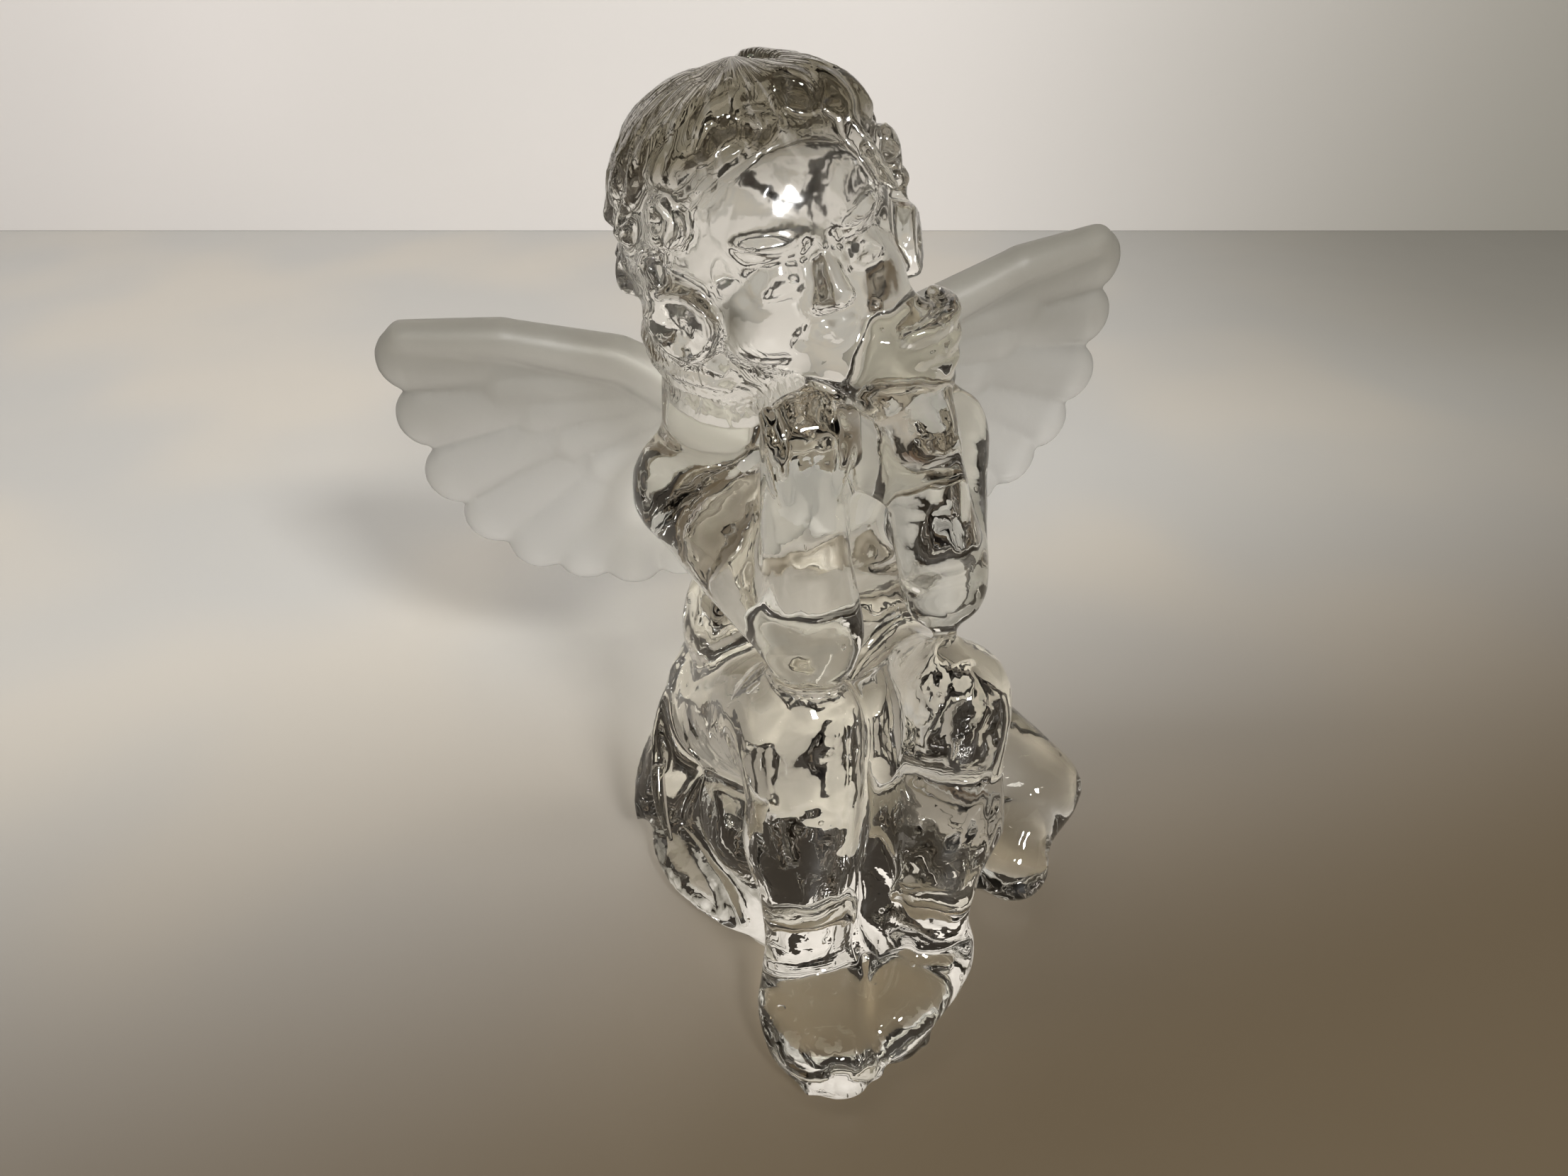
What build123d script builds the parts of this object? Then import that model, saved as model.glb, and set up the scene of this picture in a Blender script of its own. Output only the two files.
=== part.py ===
"""Seated glass cherub: a clear figure on a low rock, with two frosted wings.

The figure faces -Y and sits with its knees up and its right elbow on its right knee, and its chin rests
on its right fist.  Its left elbow rests on its left thigh and its left hand holds its cheek.
Its own right side is towards -X.  The origin is on the flat underside of the rock.

Every solid is one section of the figure.  The sections meet face to face, at the necks where the figure
narrows, because each one is cut back by the sections that were made before it.  Sizes are in millimetres.
"""

import math
import os

from build123d import *

# ---------------------------------------------------------------- driving dimensions
HIP_HEIGHT = 26.0  # hip joints above the table
KNEE_HEIGHT = 43.5
ANKLE_HEIGHT = 11.0
SHOULDER_HEIGHT = 68.0
SHOULDER_HALF = 17.0  # middle of the back to the middle of a shoulder
HEAD_HEIGHT = 101.0  # centre of the skull, before the head leans
SKULL = 15.0  # half the width of the skull

NECK_HEIGHT = 66.0  # height of the axis that the head and the shoulders lean about
BODY_LEAN = 3.0  # degrees that the shoulders and wings lean to the figure's right
HEAD_LEAN = 11.0  # degrees that the head leans to the figure's right

ARM_RADIUS = 6.9  # at the shoulder
THIGH_RADIUS = 11.5  # at the hip

ROCK_CENTRE = (3.5, -2.0)
ROCK_HALF_WIDTH = 29.5
ROCK_HALF_DEPTH = 27.0
ROCK_RIM = 5.0  # half the thickness of the rounded rim
ROCK_HEIGHT = 20.0

CURLS = ((64, 5, 360), (36, 9, 240), (6, 9, 240), (-22, 7, 220))  # elevation, curls, degrees covered
CURL_RADIUS = 5.8
CURL_REACH = 13.6  # centre of the skull to the centre of a curl
CURL_STAGGER = 0.13  # how far each row is turned past the row below, for each degree of elevation

FOLDS = 11
FOLD_STEP = 22.0  # degrees from one fold of the cloth to the next, round the hips

WING_THICK = 3.6
RIGHT_SPAN = 45.5  # root to tip
LEFT_SPAN = 48.5
WING_SWEEP = 8.0  # degrees that a wing sweeps back from straight sideways
SCALLOP = 3.0  # how far the end of a feather bulges past the notches beside it
ROLL_STEP = 0.15  # how much thinner each length of the front edge starts than the last one ended

ABOVE_TABLE = Pos(0, 0, 100) * Box(300, 300, 200)


# ---------------------------------------------------------------- places
def leaned(point, degrees):
    """A point of the upright figure, moved to where the lean puts it."""
    x, y, z = point
    angle = math.radians(degrees)
    rise = z - NECK_HEIGHT
    return Vector(
        x * math.cos(angle) - rise * math.sin(angle),
        y,
        NECK_HEIGHT + rise * math.cos(angle) + x * math.sin(angle),
    )


def on_head(x, y, above_centre):
    return leaned((x, y, HEAD_HEIGHT + above_centre), HEAD_LEAN)


def on_back(x, y, z):
    return leaned((x, y, z), BODY_LEAN)


RIGHT_SHOULDER = on_back(-SHOULDER_HALF, -1, SHOULDER_HEIGHT)
LEFT_SHOULDER = on_back(SHOULDER_HALF + 1.5, -1, SHOULDER_HEIGHT + 1.5)
RIGHT_ELBOW, LEFT_ELBOW = Vector(-6.5, -25.0, 56.5), Vector(12.5, -20.0, 58.0)
RIGHT_WRIST, LEFT_WRIST = Vector(-7.0, -21.5, 75.5), Vector(8.5, -18.5, 79.5)
RIGHT_PALM, LEFT_PALM = Vector(-6.5, -19.5, 81.5), Vector(6.5, -16.5, 88.0)
RIGHT_FINGER_STEP, LEFT_FINGER_STEP = Vector(-2.5, -0.6, -0.2), Vector(-0.3, -1.6, -2.3)

RIGHT_HIP, LEFT_HIP = Vector(-9, 2, HIP_HEIGHT), Vector(9.5, 2, HIP_HEIGHT)
RIGHT_KNEE, LEFT_KNEE = Vector(-9.5, -26, KNEE_HEIGHT), Vector(11, -26, KNEE_HEIGHT)
RIGHT_ANKLE, LEFT_ANKLE = Vector(-10.0, -33, ANKLE_HEIGHT), Vector(5.0, -34, ANKLE_HEIGHT)
RIGHT_TOE, LEFT_TOE = Vector(-8.5, -46.5, 4.0), Vector(-0.5, -43.5, 4.1)


# ---------------------------------------------------------------- shapes
def egg(centre, radii, turn=(0, 0, 0)):
    """An ellipsoid with these half sizes, turned about its own centre."""
    return Pos(*centre) * Rot(*turn) * scale(Sphere(1), by=tuple(radii))


def ball(centre, radius):
    return Pos(*centre) * Sphere(radius)


def limb(start, end, start_radius, end_radius):
    """A tapered bar with round ends: two balls, and the cone that touches both."""
    start, end = Vector(*start), Vector(*end)
    length = (end - start).length
    slope = math.asin((start_radius - end_radius) / length)

    def on_circle(radius, height, angle):
        return (radius * math.cos(angle), height + radius * math.sin(angle))

    bottom, top = (0, -start_radius), (0, length + end_radius)
    low = on_circle(start_radius, 0, slope)
    high = on_circle(end_radius, length, slope)
    with BuildSketch(Plane.XZ) as profile:
        with BuildLine():
            ThreePointArc(bottom, on_circle(start_radius, 0, (slope - math.pi / 2) / 2), low)
            Line(low, high)
            ThreePointArc(high, on_circle(end_radius, length, (slope + math.pi / 2) / 2), top)
            Line(top, bottom)
        make_face()
    bar = revolve(profile.sketch, Axis.Z)
    return Plane(origin=start, z_dir=(end - start).normalized()) * bar


def fused(*shapes):
    whole = shapes[0]
    for shape in shapes[1:]:
        whole = whole + shape
    return whole


def largest(shape):
    """The biggest solid of a shape, without the crumbs that a cut can leave."""
    return max(shape.solids(), key=lambda solid: solid.volume)


# ---------------------------------------------------------------- sections of the figure
def make_torso():
    pelvis = egg((0, 4, 28), (17, 13, 12))
    belly = egg((-0.8, 0, 43), (18.2, 14, 16))
    chest = egg(on_back(0, 0, 60), (17.2, 12, 14))
    shoulders = limb(on_back(-12, 0, 67.5), on_back(13, 0, 68.5), 7.6, 7.7)
    neck = limb(on_back(0, 0, 69), on_head(0, -3, -11), 9.0, 8.4)
    return fused(pelvis, belly, chest, shoulders, neck)


def make_head():
    """A round child's head: skull, full cheeks, small nose and chin, and an ear on each side."""
    skull = egg(on_head(0, -3.5, 0), (SKULL, 15.6, 15.8))
    jaw = egg(on_head(0, -8.5, -6), (12.2, 10.5, 9.5))
    cheeks = [egg(on_head(side * 6.4, -13.8, -5.8), (5.0, 4.4, 5.0)) for side in (-1, 1)]
    brows = [egg(on_head(side * 5.2, -16.6, 2.6), (4.2, 2.6, 1.5)) for side in (-1, 1)]
    nose = egg(on_head(0, -19.3, -3.2), (1.7, 1.9, 2.1))
    lips = egg(on_head(0, -18.2, -8.0), (2.6, 1.6, 1.5))
    chin = egg(on_head(0, -16.4, -12.0), (3.8, 3.4, 3.2))
    ears = [egg(on_head(side * 14.0, -8.0, -5.6), (2.2, 3.8, 4.8)) for side in (-1, 1)]
    return fused(skull, jaw, nose, lips, chin, *cheeks, *brows, *ears)


def make_hair():
    """A round cap that leaves the face open, rows of flat round curls, and two locks at the crown."""
    cap = ball(on_head(0, -2.5, 1.0), SKULL + 2.2)
    face = Pos(*on_head(0, -35, -13)) * Rot(-33, 0, 0) * Box(60, 44, 62)
    shapes = [cap - face]
    for elevation, count, covered in CURLS:
        gaps = count if covered == 360 else count - 1
        first = 90 - covered / 2 + elevation * CURL_STAGGER
        for step in range(count):
            turn = math.radians(first + step * covered / gaps)
            out = CURL_REACH * math.cos(math.radians(elevation))
            up = CURL_REACH * math.sin(math.radians(elevation))
            place = on_head(out * math.cos(turn), out * math.sin(turn) - 2.5, up + 1.0)
            shapes.append(ball(place, CURL_RADIUS))
    shapes.append(ball(on_head(-2.5, -2.0, 12.3), 7.4))
    shapes.append(ball(on_head(7.6, -3.0, 10.4), 6.4))
    return fused(*shapes)


def make_arm(shoulder, elbow, wrist, palm, finger_step):
    """Upper arm, forearm, and a hand whose four fingers curl up beside each other."""
    upper = limb(shoulder, elbow, ARM_RADIUS, 5.6)
    fore = limb(elbow, wrist, 5.9, 4.6)
    heel = limb(wrist, palm, 4.7, 5.2)
    fingers = []
    for step in range(4):
        knuckle = palm + Vector(3.9, 0.4, 4.4) + finger_step * step
        fingers.append(limb(knuckle, knuckle + Vector(1.6, 3.6, 2.6), 1.9, 1.5))
    return fused(upper, fore, heel, *fingers)


def make_leg(hip, knee, ankle):
    thigh = limb(hip, knee, THIGH_RADIUS, 8.0)
    calf = limb(knee, ankle, 7.7, 5.2)
    return fused(thigh, calf)


def make_foot(ankle, toe, width):
    """A plump foot, flat underneath, with five toes."""
    heel = ball(ankle + Vector(0, 1.0, -5.2), 6.3)
    arch = limb(ankle + Vector(0, -2, -4.8), toe, 6.6, 5.2)
    shapes = [ball(ankle, 5.4), heel, arch]
    for step in range(5):
        across = (step - 2) * width / 5
        shapes.append(ball(toe + Vector(across, -3.3 + 0.3 * abs(across), -1.9), 2.2))
    return fused(*shapes) & ABOVE_TABLE


def make_rock():
    """A low flat-bottomed rock: a rounded rim, a knob on its left and a bulge under the right thigh."""
    x, y = ROCK_CENTRE
    rim = egg((x, y, 2.5), (ROCK_HALF_WIDTH, ROCK_HALF_DEPTH, ROCK_RIM))
    mound = egg((x - 2, y + 5, 6), (22, 19, ROCK_HEIGHT - 6))
    front = egg((x - 2, y - 14, 2), (17, 14, 12))
    bulge = ball((-9, -10.5, 15), 10.5)
    knob = ball((27.5, -20.5, 4.2), 6.2)
    return fused(rim, mound, front, bulge, knob) & ABOVE_TABLE


def make_drape():
    """A cloth round the hips: folds down the sides and back, and a corner that flares out on the left."""
    shapes = []
    for step in range(FOLDS):
        angle = math.radians(200 - step * FOLD_STEP)
        top = Vector(16.0 * math.cos(angle), 5 + 12.5 * math.sin(angle), 29)
        foot = Vector(2 + 25.5 * math.cos(angle), 1.5 + 20.5 * math.sin(angle), 5.5)
        shapes.append(limb(top, foot, 3.9, 4.6))
    shapes.append(limb((15, 2, 27), (36, -13, 11.5), 9.0, 6.8))
    shapes.append(limb((36, -13, 11.5), (29, -19, 8), 6.8, 5.0))
    return fused(*shapes) & (Pos(0, 0, 1) * ABOVE_TABLE)


def make_wing(side, span):
    """A scalloped wing: a thin plate of long feathers, a raised bone, and a round front edge.

    It is drawn upright, u outwards and v up from its root, and then swept, leaned and put on its side.
    """
    tip, root_low, middle = (span, 24.0), (6.0, -16.5), Vector(span * 0.3, 6)
    notches = [(1.0, 15.5), (0.96, 5.5), (0.87, -4.0), (0.73, -10.5), (0.55, -15.5), (0.37, -18.0)]
    points = [tip, *((out * span, up) for out, up in notches), root_low]
    with BuildSketch() as feathers:
        with BuildLine():
            ThreePointArc((0, 7), (span * 0.45, 21.0), tip)
            for start, end in zip(points, points[1:]):
                half_way = (Vector(*start) + Vector(*end)) * 0.5
                along = (Vector(*end) - Vector(*start)).normalized()
                outward = Vector(along.Y, -along.X)
                if outward.dot(half_way - middle) < 0:
                    outward = outward * -1
                peak = half_way + outward * SCALLOP
                ThreePointArc(start, (peak.X, peak.Y), end)
            Polyline(root_low, (0, -8), (0, 7))
        make_face()
    plate = extrude(feathers.sketch, amount=WING_THICK / 2, both=True)
    bone = limb((6, 0, 0), (span * 0.62, 12, 0), 3.4, 2.6)
    edge = [(2, 7.6, 3.8), (span * 0.32, 16.6, 3.3), (span * 0.65, 22.0, 2.9), (span - 2.6, 22.8, 2.5)]
    rolls = []
    for (out, up, radius), (next_out, next_up, next_radius) in zip(edge, edge[1:]):
        rolls.append(limb((out, up, 0), (next_out, next_up, 0), radius - ROLL_STEP, next_radius))
    wing = Rot(90, 0, 0) * fused(plate, bone, *rolls)
    if side < 0:
        wing = mirror(wing, Plane.YZ)
    root = on_back(side * 7.0, 12.5, 65)
    return Pos(*root) * Rot(0, -BODY_LEAN, 0) * Rot(0, 0, side * WING_SWEEP) * wing


# ---------------------------------------------------------------- assembly
def build():
    """The sections in order: each one is cut back by those that it meets."""
    sections = {
        "torso": make_torso(),
        "right_leg": make_leg(RIGHT_HIP, RIGHT_KNEE, RIGHT_ANKLE),
        "left_leg": make_leg(LEFT_HIP, LEFT_KNEE, LEFT_ANKLE),
        "head": make_head(),
        "right_arm": make_arm(RIGHT_SHOULDER, RIGHT_ELBOW, RIGHT_WRIST, RIGHT_PALM, RIGHT_FINGER_STEP),
        "left_arm": make_arm(LEFT_SHOULDER, LEFT_ELBOW, LEFT_WRIST, LEFT_PALM, LEFT_FINGER_STEP),
        "right_foot": make_foot(RIGHT_ANKLE, RIGHT_TOE, 11.0),
        "left_foot": make_foot(LEFT_ANKLE, LEFT_TOE, 9.5),
        "hair": make_hair(),
        "right_wing": make_wing(-1, RIGHT_SPAN),
        "left_wing": make_wing(1, LEFT_SPAN),
        "base_rock": make_rock(),
        "drape": make_drape(),
    }
    finished = {}
    for name, shape in sections.items():
        for earlier in finished.values():
            shape = shape - earlier
        finished[name] = largest(shape)
    return finished


os.makedirs("parts", exist_ok=True)
for name, solid in build().items():
    export_step(solid, f"parts/{name}.step")
    print(name, round(solid.volume), solid.is_valid)
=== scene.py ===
"""A seated glass cherub: one clear figure on a low rock, with two frosted wings.

The figure is built up in two passes, as a modeller would in wax.  The first pass joins plump masses into
one skin and softens it.  The second lays the detail on that skin: the face, curls, fingers, toes and folds.
Each wing is a fan of overlapping feathers, joined and softened in the same way.
Places come from the boxes of the model's parts.  Lengths in this script are millimetres, and the meshes are
in metres.
"""

import math
import random

import bpy
import numpy
from mathutils import Matrix, Vector


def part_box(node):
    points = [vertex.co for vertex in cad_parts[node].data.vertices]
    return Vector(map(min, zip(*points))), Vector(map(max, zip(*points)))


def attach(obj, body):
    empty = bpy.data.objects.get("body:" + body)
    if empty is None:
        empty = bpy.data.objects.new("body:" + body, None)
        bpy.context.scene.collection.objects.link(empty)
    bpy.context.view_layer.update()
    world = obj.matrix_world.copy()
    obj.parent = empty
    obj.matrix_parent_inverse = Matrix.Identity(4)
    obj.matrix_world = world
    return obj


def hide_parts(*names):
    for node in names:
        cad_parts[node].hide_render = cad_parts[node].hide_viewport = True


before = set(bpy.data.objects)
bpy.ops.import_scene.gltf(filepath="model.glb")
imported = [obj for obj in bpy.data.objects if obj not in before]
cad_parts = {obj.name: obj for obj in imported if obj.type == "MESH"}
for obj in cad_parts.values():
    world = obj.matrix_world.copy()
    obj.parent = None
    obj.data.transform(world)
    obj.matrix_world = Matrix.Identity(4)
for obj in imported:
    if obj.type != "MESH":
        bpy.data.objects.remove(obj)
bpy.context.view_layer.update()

MM = 0.001
BACK = Vector((0, 1, 0))
UP = Vector((0, 0, 1))

# How fine each skin is, in millimetres, and how many rounds of smoothing it gets.
MASS_GRAIN, MASS_ROUNDS = ((0.8, 26))
DETAIL_GRAIN, DETAIL_ROUNDS = ((0.62, 5))
WING_GRAIN, WING_ROUNDS = ((0.45, 5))


# ---------------------------------------------------------------- places
def at(node, across, back, up):
    """The point at these fractions of the width, depth and height of a node's box."""
    low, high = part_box(node)
    return Vector([(a + (b - a) * share) / MM for a, b, share in zip(low, high, (across, back, up))])


def depth_of(node):
    """How deep a node's box is, from front to back."""
    low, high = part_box(node)
    return (high[1] - low[1]) / MM


SKULL = 0.45 * depth_of("head")  # half the width of the skull, the unit of the whole head
HEAD = at("head", 0.47, 0.53, 0.49)
HEAD_LEAN = math.radians(11)  # towards the figure's right
HEAD_YAW = math.radians(12)  # the face turns a little towards the figure's left
HEAD_TURN = Matrix.Rotation(-HEAD_LEAN, 3, "Y") @ Matrix.Rotation(HEAD_YAW, 3, "Z")


def on_head(x, y, z):
    """A point of the upright head, in skull radii from its centre, where the lean puts it."""
    return HEAD + HEAD_TURN @ Vector((x, y, z)) * SKULL


def on_scalp(reach, azimuth, elevation):
    """A point on the head by its direction, in degrees: azimuth 0 is the face and 90 the figure's left."""
    way_round = math.radians(azimuth)
    rise = math.radians(elevation)
    return on_head(
        reach * math.cos(rise) * math.sin(way_round),
        0.07 - reach * math.cos(rise) * math.cos(way_round),
        0.06 + reach * math.sin(rise),
    )


# The figure's joints, right and left, by their places in the boxes of its limbs.
RIGHT_SHOULDER, LEFT_SHOULDER = at("right_arm", 0.28, 0.81, 0.42), at("left_arm", 0.71, 0.78, 0.41)
RIGHT_ELBOW, LEFT_ELBOW = at("right_arm", 0.71, 0.16, 0.15), at("left_arm", 0.47, 0.19, 0.13)
RIGHT_WRIST, LEFT_WRIST = at("right_arm", 0.69, 0.26, 0.64), at("left_arm", 0.30, 0.23, 0.62)
RIGHT_PALM, LEFT_PALM = at("right_arm", 0.71, 0.31, 0.79), at("left_arm", 0.22, 0.30, 0.81)
RIGHT_HIP, LEFT_HIP = at("right_leg", 0.53, 0.78, 0.44), at("left_leg", 0.46, 0.78, 0.44)
RIGHT_KNEE, LEFT_KNEE = at("right_leg", 0.56, 0.24, 0.83), at("left_leg", 0.60, 0.25, 0.83)
RIGHT_ANKLE, LEFT_ANKLE = at("right_leg", 0.55, 0.10, 0.11), at("left_leg", 0.39, 0.10, 0.11)
RIGHT_TOE, LEFT_TOE = at("right_foot", 0.55, 0.21, 0.30), at("left_foot", 0.28, 0.25, 0.30)

# The cloth's flare on the left runs from the hip to its corner.
DRAPE_HIP, DRAPE_CORNER = at("drape", 0.61, 0.51, 0.75), at("drape", 0.90, 0.22, 0.30)

# The fullness of hair and neck behind the right ear: its centre in skull radii, and its half sizes.
NAPE = (-0.42, 0.02, -0.66)
NAPE_RADII = (10.0, 9.5, 7.5)


# ---------------------------------------------------------------- shaping by hand
def nothing_selected():
    bpy.ops.object.select_all(action="DESELECT")


def egg(centre, radii, turn=(0, 0, 0), segments=24):
    """An ellipsoid with these half sizes, turned in degrees about its own centre."""
    bpy.ops.mesh.primitive_uv_sphere_add(
        segments=segments,
        ring_count=segments // 2,
        radius=1,
        location=Vector(centre) * MM,
        rotation=[math.radians(angle) for angle in turn],
        scale=Vector(radii) * MM,
    )
    return bpy.context.object


def head_egg(centre, radii, turn=(0, 0, 0)):
    """An egg in skull radii that leans with the head."""
    piece = egg(on_head(*centre), Vector(radii) * SKULL)
    piece.rotation_euler = (
        HEAD_TURN
        @ Matrix.Rotation(math.radians(turn[2]), 3, "Z")
        @ Matrix.Rotation(math.radians(turn[1]), 3, "Y")
        @ Matrix.Rotation(math.radians(turn[0]), 3, "X")
    ).to_euler()
    return piece


EQUATOR = 1e-7  # metres: a ball's vertices above this are in its upper half


def limb(start, end, start_radius, end_radius, segments=20):
    """A tapered bar with round ends: a ball whose upper half is pulled out and resized."""
    start, end = Vector(start), Vector(end)
    bpy.ops.mesh.primitive_uv_sphere_add(
        segments=segments, ring_count=segments // 2, radius=start_radius * MM
    )
    bar = bpy.context.object
    for vertex in bar.data.vertices:
        vertex.select = vertex.co.z > EQUATOR
    for edge in bar.data.edges:
        edge.select = all(bar.data.vertices[i].select for i in edge.vertices)
    for face in bar.data.polygons:
        face.select = all(bar.data.vertices[i].select for i in face.vertices)
    bpy.ops.object.mode_set(mode="EDIT")
    ratio = end_radius / start_radius
    bpy.ops.transform.resize(value=(ratio, ratio, ratio), center_override=(0, 0, 0))
    bpy.ops.transform.translate(value=(0, 0, (end - start).length * MM))
    bpy.ops.object.mode_set(mode="OBJECT")
    bar.rotation_mode = "QUATERNION"
    bar.rotation_quaternion = (end - start).to_track_quat("Z", "Y")
    bar.location = start * MM
    return bar


def lock(points, radii):
    """A smooth tube through five points, with a radius at each: a curl of hair, a fold or a finger."""
    bpy.ops.curve.primitive_nurbs_path_add()
    strand = bpy.context.object
    strand.data.bevel_depth = MM
    strand.data.bevel_resolution = 3
    strand.data.resolution_u = 5
    strand.data.use_fill_caps = True
    for control, point, radius in zip(strand.data.splines[0].points, points, radii):
        control.co = (*(Vector(point) * MM), 1)
        control.radius = radius
    bpy.ops.object.convert(target="MESH")
    return bpy.context.object


def joined(name, shapes):
    """One object of these shapes, with its place and turn put into its mesh."""
    nothing_selected()
    for shape in shapes:
        shape.select_set(True)
    bpy.context.view_layer.objects.active = shapes[0]
    bpy.ops.object.join()
    whole = bpy.context.object
    bpy.ops.object.transform_apply(location=True, rotation=True, scale=True)
    whole.name = whole.data.name = name
    return whole


def add_modifier(piece, kind, **settings):
    """Adds a modifier and applies it."""
    nothing_selected()
    piece.select_set(True)
    bpy.context.view_layer.objects.active = piece
    modifier = piece.modifiers.new(kind, kind)
    for name, value in settings.items():
        setattr(modifier, name, value)
    bpy.ops.object.modifier_apply(modifier=modifier.name)


def one_skin(name, shapes, grain, rounds):
    """Joins overlapping shapes into one closed skin of this grain, and softens its creases."""
    skin = joined(name, shapes)
    add_modifier(skin, "REMESH", mode="VOXEL", voxel_size=grain * MM)
    add_modifier(skin, "SMOOTH", factor=0.5, iterations=rounds)
    return skin


def unevened(piece, size, height):
    """Gives the skin the slow unevenness of a fire-polished casting."""
    cloud = bpy.data.textures.new("unevenness", "CLOUDS")
    cloud.noise_scale = size * MM
    add_modifier(
        piece, "DISPLACE", texture=cloud, texture_coords="LOCAL", strength=height * MM, mid_level=0.5
    )


def cut_flat(piece, place, normal):
    """Cuts away what is past a plane, and closes the cut."""
    nothing_selected()
    piece.select_set(True)
    bpy.context.view_layer.objects.active = piece
    bpy.ops.object.mode_set(mode="EDIT")
    bpy.ops.mesh.select_all(action="SELECT")
    bpy.ops.mesh.bisect(
        plane_co=Vector(place) * MM, plane_no=normal, use_fill=True, clear_outer=True, threshold=1e-6
    )
    bpy.ops.object.mode_set(mode="OBJECT")


def pressed(piece, dents):
    """Pushes the skin with a thumb: each dent is a place, how far it reaches, and the push."""
    skin = numpy.empty(3 * len(piece.data.vertices))
    piece.data.vertices.foreach_get("co", skin)
    skin = skin.reshape(-1, 3)
    for place, reach, push in dents:
        away = numpy.linalg.norm(skin - numpy.array(place) * MM, axis=1) / (reach * MM)
        softness = numpy.clip(1 - away**2, 0, 1) ** 2
        skin += softness[:, None] * numpy.array(push) * MM
    piece.data.vertices.foreach_set("co", skin.ravel())
    piece.data.update()


# ---------------------------------------------------------------- first pass: the masses
def body_masses():
    """Seat, belly, chest, shoulders and neck, and the webs of glass between the arms and the chest."""
    neck_low, neck_high = at("torso", 0.49, 0.45, 0.65), on_head(0, 0.02, -0.72)
    return [
        egg(at("torso", 0.49, 0.58, 0.15), (17, 13, 12)),
        egg(at("torso", 0.47, 0.45, 0.33), (18.0, 13.6, 16)),
        egg(at("torso", 0.50, 0.45, 0.54), (17.0, 11.8, 14)),
        limb(at("torso", 0.17, 0.45, 0.62), at("torso", 0.84, 0.45, 0.65), 7.6, 7.6),
        limb(neck_low, neck_high, 9.6, 9.4),
        limb(on_head(-0.40, 0.20, -0.70), RIGHT_SHOULDER + Vector((3.5, 1, 3.5)), 8.4, 6.6),
        limb(on_head(0.30, 0.20, -0.70), LEFT_SHOULDER + Vector((-3.0, 1, 3.0)), 8.4, 6.6),
        egg(on_head(*NAPE), NAPE_RADII),
        egg(RIGHT_SHOULDER.lerp(RIGHT_ELBOW, 0.5) + Vector((5.5, 4.5, 1)), (7.5, 7, 11)),
        egg(RIGHT_ELBOW.lerp(RIGHT_WRIST, 0.55) + Vector((2.0, 7.0, 0)), (5.6, 6.5, 12)),
        egg(LEFT_ELBOW.lerp(LEFT_WRIST, 0.85) + Vector((-3.5, 6.0, 0)), (6.0, 7.0, 8)),
    ]


def head_masses():
    """Skull, jaw, full cheeks and chin."""
    cheeks = [head_egg((side * 0.42, -0.66, -0.38), (0.38, 0.36, 0.38)) for side in (-1, 1)]
    return [
        head_egg((0, 0, 0), (1.0, 1.03, 1.04)),
        head_egg((0, -0.30, -0.40), (0.82, 0.72, 0.64)),
        head_egg((0, -0.86, -0.79), (0.27, 0.25, 0.21)),
        *cheeks,
    ]


def limb_masses():
    """Plump arms and legs, and the blocks of the hands and feet."""
    shapes = []
    arms = (
        (RIGHT_SHOULDER, RIGHT_ELBOW, RIGHT_WRIST, RIGHT_PALM, 7.6, 6.8),
        (LEFT_SHOULDER, LEFT_ELBOW, LEFT_WRIST, LEFT_PALM, 7.0, 6.0),
    )
    for shoulder, elbow, wrist, palm, upper, lower in arms:
        shapes.append(limb(shoulder, elbow, upper, lower))
        shapes.append(limb(elbow, wrist, lower, 4.9))
        shapes.append(limb(wrist, palm, 4.9, 5.4))
    shapes.append(egg(LEFT_PALM + Vector((-1.6, -0.2, -0.4)), (7.0, 5.2, 6.2)))
    shapes.append(egg(LEFT_PALM + Vector((1.8, 1.6, 1.6)), (3.8, 4.2, 5.4)))
    legs = (
        (RIGHT_HIP, RIGHT_KNEE, RIGHT_ANKLE, RIGHT_TOE, 8.5, 6.2, 0.0),
        (LEFT_HIP, LEFT_KNEE, LEFT_ANKLE, LEFT_TOE, 8.3, 6.2, 1.6),
    )
    for hip, knee, ankle, toe, full, slim, bow in legs:
        shapes.append(limb(hip, knee, 11.5, full))
        shapes.append(limb(knee, ankle, full, slim))
        calf = knee.lerp(ankle, 0.5) + Vector((bow, 1.0, 0))
        shapes.append(egg(calf, (0.96 * full, 0.96 * full, 15)))
        shapes.append(egg(ankle + Vector((0, 1.0, -4.0)), (6.0, 6.8, 7.0)))
        shapes.append(limb(ankle + Vector((0, -1, -3.6)), toe, 7.0, 5.6))
    shapes.append(egg(at("right_foot", 0.46, 0.46, 0.34), (7.8, 11.4, 5.6)))
    knees, ankles = RIGHT_KNEE.lerp(LEFT_KNEE, 0.5), RIGHT_ANKLE.lerp(LEFT_ANKLE, 0.5)
    shapes.append(limb(knees + Vector((0.8, 4.0, -4.0)), ankles + Vector((0.8, 2.0, 0)), 5.6, 5.4))
    shapes.append(egg(knees.lerp(ankles, 0.55) + Vector((0.8, 9.0, 0)), (14.0, 9.5, 15.0)))
    return shapes


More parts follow.
